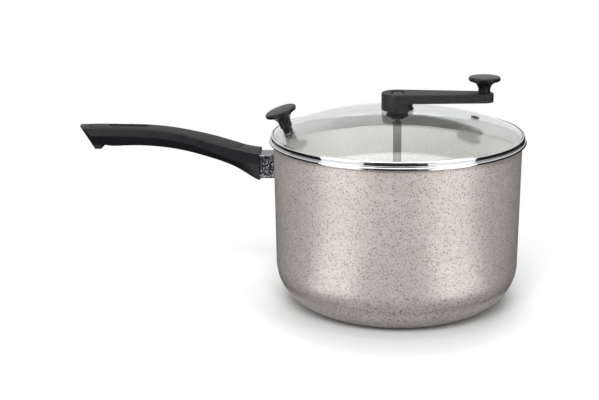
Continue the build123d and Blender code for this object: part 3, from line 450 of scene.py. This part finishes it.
# Inlay: soft-touch elastomer, dark grey, with a fine pebble grain
pebble = {"roughness": 0.72, "specular": 0.3, "cell": 0.8, "middle": (0.1, "#343434"), "edge": (0.7, "#242424"),
          "strength": 0.5, "depth": 0.00012}
softTouch, tree, shader, place = newMaterial("softTouchInlay", {"Roughness": pebble["roughness"],
                                                               "Specular IOR Level": pebble["specular"]})
grain = addNode(tree, "ShaderNodeTexVoronoi", {"Scale": perMetre(pebble["cell"])}, {"Vector": place})
grain = grain.outputs["Distance"]
tree.links.new(ramp(tree, grain, [pebble["middle"], pebble["edge"]]), shader.inputs["Base Color"])
addBump(tree, shader, grain, pebble["strength"], pebble["depth"])

# Bracket: cast aluminium with a bright hammered face that sparkles where it mirrors a lamp
hammer = {"roughness": 0.24, "dent": 1.3, "detail": 3.0, "breakUp": 0.6, "hollow": (0.43, "#26282d"),
          "crest": (0.62, "#bcbec4"), "strength": 0.8, "depth": 0.0004}
hammeredCast, tree, shader, place = newMaterial("hammeredCast", {"Roughness": hammer["roughness"], "Metallic": 1.0})
dents = addNode(tree, "ShaderNodeTexNoise", {"Scale": perMetre(hammer["dent"]), "Detail": hammer["detail"],
                                             "Roughness": hammer["breakUp"]}, {"Vector": place}).outputs["Fac"]
tree.links.new(ramp(tree, dents, [hammer["hollow"], hammer["crest"]]), shader.inputs["Base Color"])
addBump(tree, shader, dents, hammer["strength"], hammer["depth"])

# Silicone of the washers: dark grey, soft sheen
silicone = clouded("darkSilicone", {"Roughness": 0.55},
                   {"size": 3.0, "detail": 3.0, "drives": {"Base Color": ("#262626", "#303030")}})

# Natural nylon of the slip washer: milky white
slipNylon = clouded("naturalNylon", {"Roughness": 0.4},
                    {"size": 3.0, "detail": 3.0, "drives": {"Base Color": ("#e2e0d9", "#ece9e2")}})
print("materials ready")


# ---------------------------------------------------------------- pan

# Lengths are in millimetres from here on, and angles in degrees
pan = {"lipRadius": 113.2, "height": 152.8, "footRadius": 111.386, "cornerRadius": 41.0, "wall": 2.5, "floor": 4.0,
       "lipRounding": 0.9, "grooves": (14, 28, 42, 56), "grooveWidth": 1.6, "grooveDepth": 0.4,
       "grooveRounding": 0.15, "baseRadius": 69.0, "groundHeight": 0.45, "groundMargin": 0.5, "sharp": 50}
coatIndex, insideIndex, groundIndex = 0, 1, 2
bm = bmesh.new()
corners = [(0, 0, 0)]
for groove in pan["grooves"]:
    near, far = groove - pan["grooveWidth"] / 2, groove + pan["grooveWidth"] / 2
    corners += [(near, 0, pan["grooveRounding"]), (near, pan["grooveDepth"], pan["grooveRounding"]),
                (far, pan["grooveDepth"], pan["grooveRounding"]), (far, 0, pan["grooveRounding"])]
footInside = pan["footRadius"] + pan["floor"] * (pan["lipRadius"] - pan["footRadius"]) / pan["height"] - pan["wall"]
corners += [(pan["baseRadius"], 0, 0), (pan["footRadius"], 0, pan["cornerRadius"]),
            (pan["lipRadius"], pan["height"], pan["lipRounding"]),
            (pan["lipRadius"] - pan["wall"], pan["height"], pan["lipRounding"]),
            (footInside, pan["floor"], pan["cornerRadius"] - pan["wall"]), (0, pan["floor"], 0)]
cornerProfile(bm, corners)
spinRound(bm)
for face in bm.faces:
    middle = face.calc_center_median() / mm
    if middle.z < pan["groundHeight"] and math.hypot(middle.x, middle.y) < pan["baseRadius"] - pan["groundMargin"]:
        face.material_index = groundIndex
potPiece = makePiece(bm, "panBody", "pot", [potCoat, potInside, turnedBase], ["pot_body"], pan["sharp"])

# The faces that look into the pan, and its floor, get the inside coat
inward = {"wall": -1e-4, "floorFacing": 0.6, "floorBelow": 0.1}
for face in potPiece.data.polygons:
    outward = Vector((face.center.x, face.center.y, 0))
    isWall = face.normal.dot(outward) < inward["wall"]
    isFloor = face.normal.z > inward["floorFacing"] and face.center.z < inward["floorBelow"]
    if face.material_index == coatIndex and (isWall or isFloor):
        face.material_index = insideIndex
print("pan ready")

# ---------------------------------------------------------------- glass dome

dome = {"apex": 181.7, "crownRadius": 340.0, "crownReach": 60.0, "skirtRadius": 245.0, "outer": 114.3,
        "thickness": 4.0, "bushHole": 6.75, "knobReach": 100.5, "knobAzimuth": 193.7, "crownSteps": 20,
        "skirtSteps": 28, "edgeSteps": 12, "sharp": 40}
crownAngle = math.asin(dome["crownReach"] / dome["crownRadius"])
crownCentre = (0, (dome["apex"] - dome["crownRadius"]) * mm)
skirtX = (dome["crownRadius"] - dome["skirtRadius"]) * math.sin(crownAngle) * mm
skirtZ = crownCentre[1] + (dome["crownRadius"] - dome["skirtRadius"]) * math.cos(crownAngle) * mm
half = dome["thickness"] / 2
edgeReach = (dome["outer"] - half) * mm
edgeAngle = math.asin((edgeReach - skirtX) / ((dome["skirtRadius"] - half) * mm))
edgeHeight = skirtZ + (dome["skirtRadius"] - half) * mm * math.cos(edgeAngle)


def domePlace(reach, azimuth):
    # matrix of a plane that touches the glass: its Z is the glass's normal
    lean = math.asin((reach * mm - skirtX) / (dome["skirtRadius"] * mm))
    turn = math.radians(azimuth)
    outward = Vector((math.cos(turn), math.sin(turn), 0))
    spot = outward * reach * mm + Vector((0, 0, skirtZ + dome["skirtRadius"] * mm * math.cos(lean)))
    normal = outward * math.sin(lean) + Vector((0, 0, math.cos(lean)))
    along = outward * math.cos(lean) - Vector((0, 0, math.sin(lean)))
    return Matrix.Translation(spot) @ Matrix((along, normal.cross(along), normal)).transposed().to_4x4()


bm = bmesh.new()
outerStart = math.asin(dome["bushHole"] / dome["crownRadius"])
innerStart = math.asin(dome["bushHole"] / (dome["crownRadius"] - dome["thickness"]))
first = bm.verts.new((dome["bushHole"] * mm, 0, crownCentre[1] + dome["crownRadius"] * mm * math.cos(outerStart)))
last = arcFrom(bm, first, crownCentre, crownAngle - outerStart, dome["crownSteps"])
last = arcFrom(bm, last, (skirtX, skirtZ), edgeAngle - crownAngle, dome["skirtSteps"])
last = arcFrom(bm, last, (edgeReach, edgeHeight), math.pi, dome["edgeSteps"])
last = arcFrom(bm, last, (skirtX, skirtZ), crownAngle - edgeAngle, dome["skirtSteps"])
last = arcFrom(bm, last, crownCentre, innerStart - crownAngle, dome["crownSteps"])
bm.edges.new((last, first))
spinRound(bm)
glassPiece = makePiece(bm, "glassDome", "lid", clearGlass, ["glass_lid"], dome["sharp"])
glassPiece.visible_shadow = False    # light passes the clear lid, without the noise of caustics
print("glass ready")

# ---------------------------------------------------------------- steel rim

rim = {"skirtInner": 109.3, "skirtOuter": 109.9, "skirtBottom": 144.6, "beadBottom": 153.0, "beadTop": 156.0,
       "beadReach": 117.0, "band": 115.5, "bore": 114.9, "ledge": 156.49, "lipInner": 113.8, "lipTop": 160.71,
       "sheet": 0.6, "crease": 0.55, "creaseTop": 0.35, "flareTop": 1.0, "steps": 320, "sharp": 60}
rimRound = {"cut": 0.25, "fold": 0.1, "hem": 0.15, "lip": 0.2, "innerRoll": 1.05, "roll": 1.45, "flare": 0.4,
            "crease": 0.12, "seat": 0.3}
bm = bmesh.new()
cornerProfile(bm, [
    (rim["skirtInner"], rim["skirtBottom"], rimRound["cut"]),
    (rim["skirtInner"], rim["ledge"] + rim["sheet"], rimRound["cut"]),
    (rim["skirtOuter"], rim["ledge"] + rim["sheet"], rimRound["fold"]),
    (rim["skirtOuter"] + rim["sheet"], rim["ledge"], rimRound["fold"]),
    (rim["bore"], rim["ledge"], rimRound["fold"]),
    (rim["bore"], rim["lipTop"] - rim["sheet"], rimRound["innerRoll"]),
    (rim["lipInner"], rim["lipTop"] - rim["sheet"], rimRound["hem"]),
    (rim["lipInner"], rim["lipTop"], rimRound["lip"]),
    (rim["band"], rim["lipTop"], rimRound["roll"]),
    (rim["band"], rim["beadTop"] + rim["flareTop"], rimRound["flare"]),
    (rim["band"] - rim["crease"], rim["beadTop"] + rim["creaseTop"], rimRound["crease"]),
    (rim["band"] - rim["crease"], rim["beadTop"], rimRound["fold"]),
    (rim["beadReach"], rim["beadTop"], rimRound["roll"]),
    (rim["beadReach"], rim["beadBottom"], rimRound["roll"]),
    (rim["skirtOuter"], rim["beadBottom"], rimRound["seat"]),
    (rim["skirtOuter"], rim["skirtBottom"], rimRound["cut"]),
], closed=True)
spinRound(bm, rim["steps"])
makePiece(bm, "rolledRim", "lid", polishedSteel, ["lid_rim"], rim["sharp"])
print("rim ready")

# ---------------------------------------------------------------- knobs

# The neck's curve starts and bends at these shares of its height
neckCurve = {"start": 0.24, "middle": 0.75}
knob = {"neckRadius": 5.4, "waist": 7.7, "flare": 12.6, "disc": 14.4, "edge": 1.5, "discHeight": 4.0, "crown": 0.5,
        "underRound": 0.5, "upperRound": 0.4, "upperInset": 0.6, "bore": 3.55, "boreDepth": 8.6,
        "boreChamfer": 0.3, "footChamfer": 0.35, "lidNeck": 13.2, "crankNeck": 10.3, "spacer": 5.0,
        "neckSteps": 18, "discSteps": 8, "steps": 96, "sharp": 40}


def knobMesh(neck, place):
    # mushroom knob on its own axis, spun and then set on its foot
    bm = bmesh.new()
    top = (neck + knob["discHeight"]) * mm
    middle = (neck + (knob["discHeight"] - knob["edge"]) / 2) * mm
    last = bm.verts.new((0, 0, knob["boreDepth"] * mm))
    last = lineTo(bm, last, knob["bore"] * mm, knob["boreDepth"] * mm)
    last = lineTo(bm, last, knob["bore"] * mm, knob["boreChamfer"] * mm)
    last = lineTo(bm, last, (knob["bore"] + knob["boreChamfer"]) * mm, 0)
    last = lineTo(bm, last, (knob["neckRadius"] - knob["footChamfer"]) * mm, 0)
    last = lineTo(bm, last, knob["neckRadius"] * mm, knob["footChamfer"] * mm)
    last = lineTo(bm, last, knob["neckRadius"] * mm, neck * neckCurve["start"] * mm)
    last = arcThrough(bm, last, (knob["waist"] * mm, neck * neckCurve["middle"] * mm), (knob["flare"] * mm, neck * mm),
                      knob["neckSteps"])
    last = arcThrough(bm, last, ((knob["disc"] - knob["underRound"]) * mm, (neck + knob["underRound"]) * mm),
                      (knob["disc"] * mm, middle), knob["discSteps"])
    last = lineTo(bm, last, knob["disc"] * mm, middle + knob["edge"] * mm)
    last = arcThrough(bm, last, ((knob["disc"] - knob["upperInset"]) * mm, top - knob["upperRound"] * mm),
                      (knob["flare"] * mm, top), knob["discSteps"])
    reach = knob["flare"] * mm
    dish = (reach ** 2 + (knob["crown"] * mm) ** 2) / (2 * knob["crown"] * mm)
    arcFrom(bm, last, (0, top + knob["crown"] * mm - dish), -math.asin(reach / dish), knob["discSteps"])
    spinRound(bm, knob["steps"])
    bmesh.ops.transform(bm, matrix=place, verts=bm.verts)
    return bm


knobSeat = domePlace(dome["knobReach"], dome["knobAzimuth"])
makePiece(knobMesh(knob["lidNeck"], knobSeat @ Matrix.Translation((0, 0, knob["spacer"] * mm))),
          "lidKnobTurned", "lid", blackPhenolic, ["lid_knob"], knob["sharp"])
footLow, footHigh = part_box("crank_knob")
crankFoot = Vector(((footLow.x + footHigh.x) / 2, (footLow.y + footHigh.y) / 2, footLow.z))
makePiece(knobMesh(knob["crankNeck"], Matrix.Translation(crankFoot)),
          "crankKnobTurned", "crank_knob", blackPhenolic, ["crank_knob"], knob["sharp"])
print("knobs ready")

# ---------------------------------------------------------------- pieces that keep the CAD's shape

# Each row: node, slot, material, and the angle at which its edges turn sharp where that isn't the usual one
kept = {
    "pot": [("handle_bracket", "bracket_metal", hammeredCast, 30), ("bracket_rivets", "plain_steel", plainSteel),
            ("handle_body", "handle_plastic", handlePhenolic, 28), ("handle_screw", "plain_steel", plainSteel)],
    "lid": [("vent_eyelet", "polished_steel", darkSteel), ("lid_knob_insert", "brass", turnedBrass),
            ("lid_knob_spacer", "plain_steel", darkSteel), ("lid_knob_gasket", "gasket_rubber", silicone),
            ("lid_knob_screw", "plain_steel", plainSteel), ("shaft_bush", "brass", nickelPlate),
            ("bush_gasket_upper", "gasket_rubber", silicone), ("bush_gasket_lower", "gasket_rubber", silicone),
            ("bush_nut", "plain_steel", darkSteel)],
    "crank": [("crank_arm", "crank_plastic", crankNylon, 32), ("crank_screw", "plain_steel", darkSteel),
              ("crank_screw_washer", "plain_steel", darkSteel), ("thrust_washer", "slip_plastic", slipNylon),
              ("stir_shaft", "shaft_metal", drawnAluminium), ("shaft_clip", "plain_steel", plainSteel),
              ("stirrer_hub", "shaft_metal", drawnAluminium), ("stirrer_pin", "plain_steel", plainSteel),
              ("stirrer_arms", "plain_steel", plainSteel)],
    "crank_knob": [("crank_knob_insert", "brass", turnedBrass), ("crank_knob_screw", "plain_steel", plainSteel)],
}
for body, rows in kept.items():
    for row in rows:
        weldedNode(body, *row)
print("kept pieces dressed")

# ---------------------------------------------------------------- inlay

# Its walls are drawn in a little, so that the pocket shows as the dark line round it
inlay = {"groove": 0.7, "wallFacing": 0.3}
bm = bmesh.new()
bm.from_mesh(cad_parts["handle_grip"].data)
bmesh.ops.remove_doubles(bm, verts=bm.verts, dist=weldDistance)
bmesh.ops.recalc_face_normals(bm, faces=bm.faces)
moves = []
for vert in bm.verts:
    walls = [face.normal * face.calc_area() for face in vert.link_faces if abs(face.normal.z) < inlay["wallFacing"]]
    if walls:
        outward = sum(walls, Vector())
        outward.z = 0
        moves.append((vert, outward.normalized() * inlay["groove"] * mm))
for vert, move in moves:
    vert.co -= move
makePiece(bm, "handleInlay", "pot", softTouch, ["handle_grip"])
print("inlay ready")
